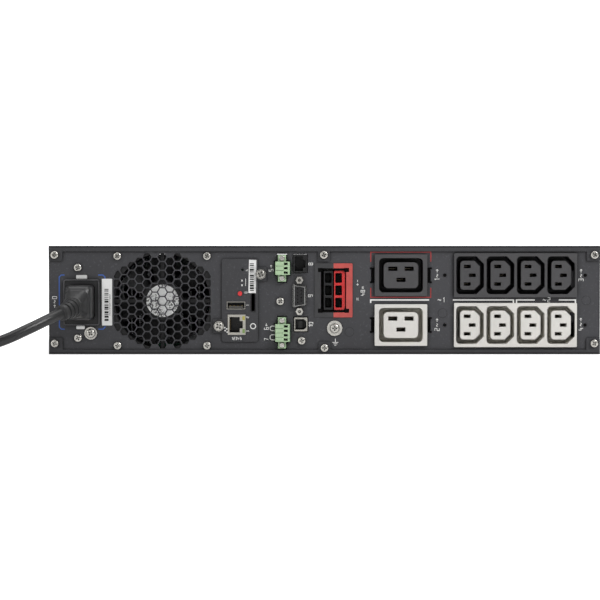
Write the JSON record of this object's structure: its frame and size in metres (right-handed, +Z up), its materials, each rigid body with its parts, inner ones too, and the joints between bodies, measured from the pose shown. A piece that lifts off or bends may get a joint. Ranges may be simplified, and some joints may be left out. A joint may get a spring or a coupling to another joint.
{
  "type": "uninterruptible power supply",
  "caption": "Flat rackmount uninterruptible power supply with a vented socket panel, pluggable cards and terminals, a sliding battery drawer and a turning display.",
  "frame": {"origin": "centre of the underside", "axes": "+X right as seen from the socket side, -Y out of the socket side, +Z up"},
  "size_m": [0.5439, 0.6922, 0.0865],
  "materials": {
    "case_paint": "satin charcoal powder coat",
    "bezel_plastic": "fine texture",
    "black_plastic": "moulded",
    "outlet_black": "moulded",
    "outlet_grey": "moulded",
    "nickel": "nickel plated",
    "bright_steel": "zinc plated",
    "contact_metal": "plated copper alloy",
    "terminal_green": "moulded",
    "connector_red": "moulded",
    "port_label": "printed film in dark grey and red",
    "circuit_board": "solder mask",
    "heatsink_metal": "extruded",
    "capacitor_sleeve": "shrink sleeve",
    "copper_winding": "enamelled copper",
    "cord_rubber": "satin",
    "loom_plastic": "insulation",
    "battery_case": "moulded",
    "red_button": "moulded",
    "key_plastic": "moulded",
    "window_glass": "tinted",
    "lens_plastic": "diffusing"
  },
  "bodies": {
    "chassis": {"chassis_tray": "case_paint", "top_cover": "case_paint", "rear_panel": "case_paint", "panel_screws": "nickel", "ground_screws": "nickel", "fan_frame": "black_plastic", "inlet_socket": "black_plastic", "inlet_clips": "nickel", "card_rails": "bright_steel", "relay_header": "terminal_green", "remote_header": "terminal_green", "service_board": "circuit_board", "battery_signal_jack": "black_plastic", "serial_port_shell": "nickel", "serial_port_insert": "black_plastic", "serial_standoffs": "nickel", "usb_device_port": "nickel", "battery_port_bezel": "port_label", "battery_port_black": "black_plastic", "battery_port_red": "connector_red", "socket_contacts": "contact_metal", "large_outlet_black": "outlet_black", "large_outlet_grey": "outlet_grey", "outlet_bank_black": "outlet_black", "outlet_bank_grey": "outlet_grey", "status_lenses": "lens_plastic", "power_board": "circuit_board", "heatsinks": "heatsink_metal", "bulk_capacitors": "capacitor_sleeve", "power_inductors": "copper_winding", "transfer_relays": "black_plastic", "control_board": "circuit_board", "wiring_loom": "loom_plastic", "battery_bay": "bright_steel", "front_bezel": "bezel_plastic"},
    "fan_wheel": {"fan_rotor": "black_plastic"},
    "inlet_plug": {"power_plug": "cord_rubber", "plug_boot": "cord_rubber", "power_cord": "cord_rubber"},
    "network_card": {"card_faceplate": "case_paint", "card_board": "circuit_board", "card_lan_jack": "nickel", "card_usb_port": "nickel"},
    "restart_button": {"card_restart_button": "red_button"},
    "upper_thumb_screw": {"card_screw_upper": "nickel"},
    "lower_thumb_screw": {"card_screw_lower": "nickel"},
    "relay_terminal": {"relay_plug": "terminal_green", "relay_plug_screws": "nickel"},
    "remote_terminal": {"remote_plug": "terminal_green", "remote_plug_screws": "nickel"},
    "battery_drawer": {"battery_tray": "bright_steel", "battery_modules": "battery_case"},
    "battery_door": {"battery_cover": "bezel_plastic"},
    "display": {"display_pod": "bezel_plastic", "display_window": "window_glass"},
    "key_up": {"display_key_up": "key_plastic"},
    "key_down": {"display_key_down": "key_plastic"},
    "key_enter": {"display_key_enter": "key_plastic"},
    "power_key": {"power_button": "key_plastic"}
  },
  "joints": [
    {"name": "fan_spin", "type": "hinge", "parent": "chassis", "child": "fan_wheel", "pos_m": [-0.1295, -0.3, 0.0425], "axis": [0, 1, 0], "continuous": true},
    {"name": "inlet_plug_pull", "type": "slide", "parent": "chassis", "child": "inlet_plug", "axis": [0, -1, 0], "range_m": [0, 0.025]},
    {"name": "card_slide", "type": "slide", "parent": "chassis", "child": "network_card", "axis": [0, -1, 0], "range_m": [0, 0.14]},
    {"name": "upper_thumb_screw_turn", "type": "hinge", "parent": "network_card", "child": "upper_thumb_screw", "pos_m": [-0.0508, -0.3, 0.0638], "axis": [0, -1, 0], "continuous": true},
    {"name": "lower_thumb_screw_turn", "type": "hinge", "parent": "network_card", "child": "lower_thumb_screw", "pos_m": [-0.0843, -0.3, 0.0224], "axis": [0, -1, 0], "continuous": true},
    {"name": "restart_press", "type": "slide", "parent": "network_card", "child": "restart_button", "axis": [0, 1, 0], "range_m": [0, 0.0012], "stiffness_N_per_m": 400},
    {"name": "relay_terminal_pull", "type": "slide", "parent": "chassis", "child": "relay_terminal", "axis": [0, -1, 0], "range_m": [0, 0.012]},
    {"name": "remote_terminal_pull", "type": "slide", "parent": "chassis", "child": "remote_terminal", "axis": [0, -1, 0], "range_m": [0, 0.012]},
    {"name": "battery_drawer_slide", "type": "slide", "parent": "chassis", "child": "battery_drawer", "axis": [0, 1, 0], "range_m": [0, 0.3]},
    {"name": "battery_door_slide", "type": "slide", "parent": "chassis", "child": "battery_door", "axis": [0, 1, 0], "range_m": [0, 0.36]},
    {"name": "display_turn", "type": "hinge", "parent": "chassis", "child": "display", "pos_m": [0.154, 0.3, 0.04325], "axis": [0, 1, 0], "range_deg": [0, 90]},
    {"name": "key_up_press", "type": "slide", "parent": "display", "child": "key_up", "axis": [0, -1, 0], "range_m": [0, 0.001], "stiffness_N_per_m": 400},
    {"name": "key_down_press", "type": "slide", "parent": "display", "child": "key_down", "axis": [0, -1, 0], "range_m": [0, 0.001], "stiffness_N_per_m": 400},
    {"name": "key_enter_press", "type": "slide", "parent": "display", "child": "key_enter", "axis": [0, -1, 0], "range_m": [0, 0.001], "stiffness_N_per_m": 400},
    {"name": "power_key_press", "type": "slide", "parent": "chassis", "child": "power_key", "axis": [0, -1, 0], "range_m": [0, 0.001], "stiffness_N_per_m": 400}
  ],
  "couplings": [
    {"joint": "battery_door_slide", "follows": "battery_drawer_slide", "ratio": 1.2}
  ]
}
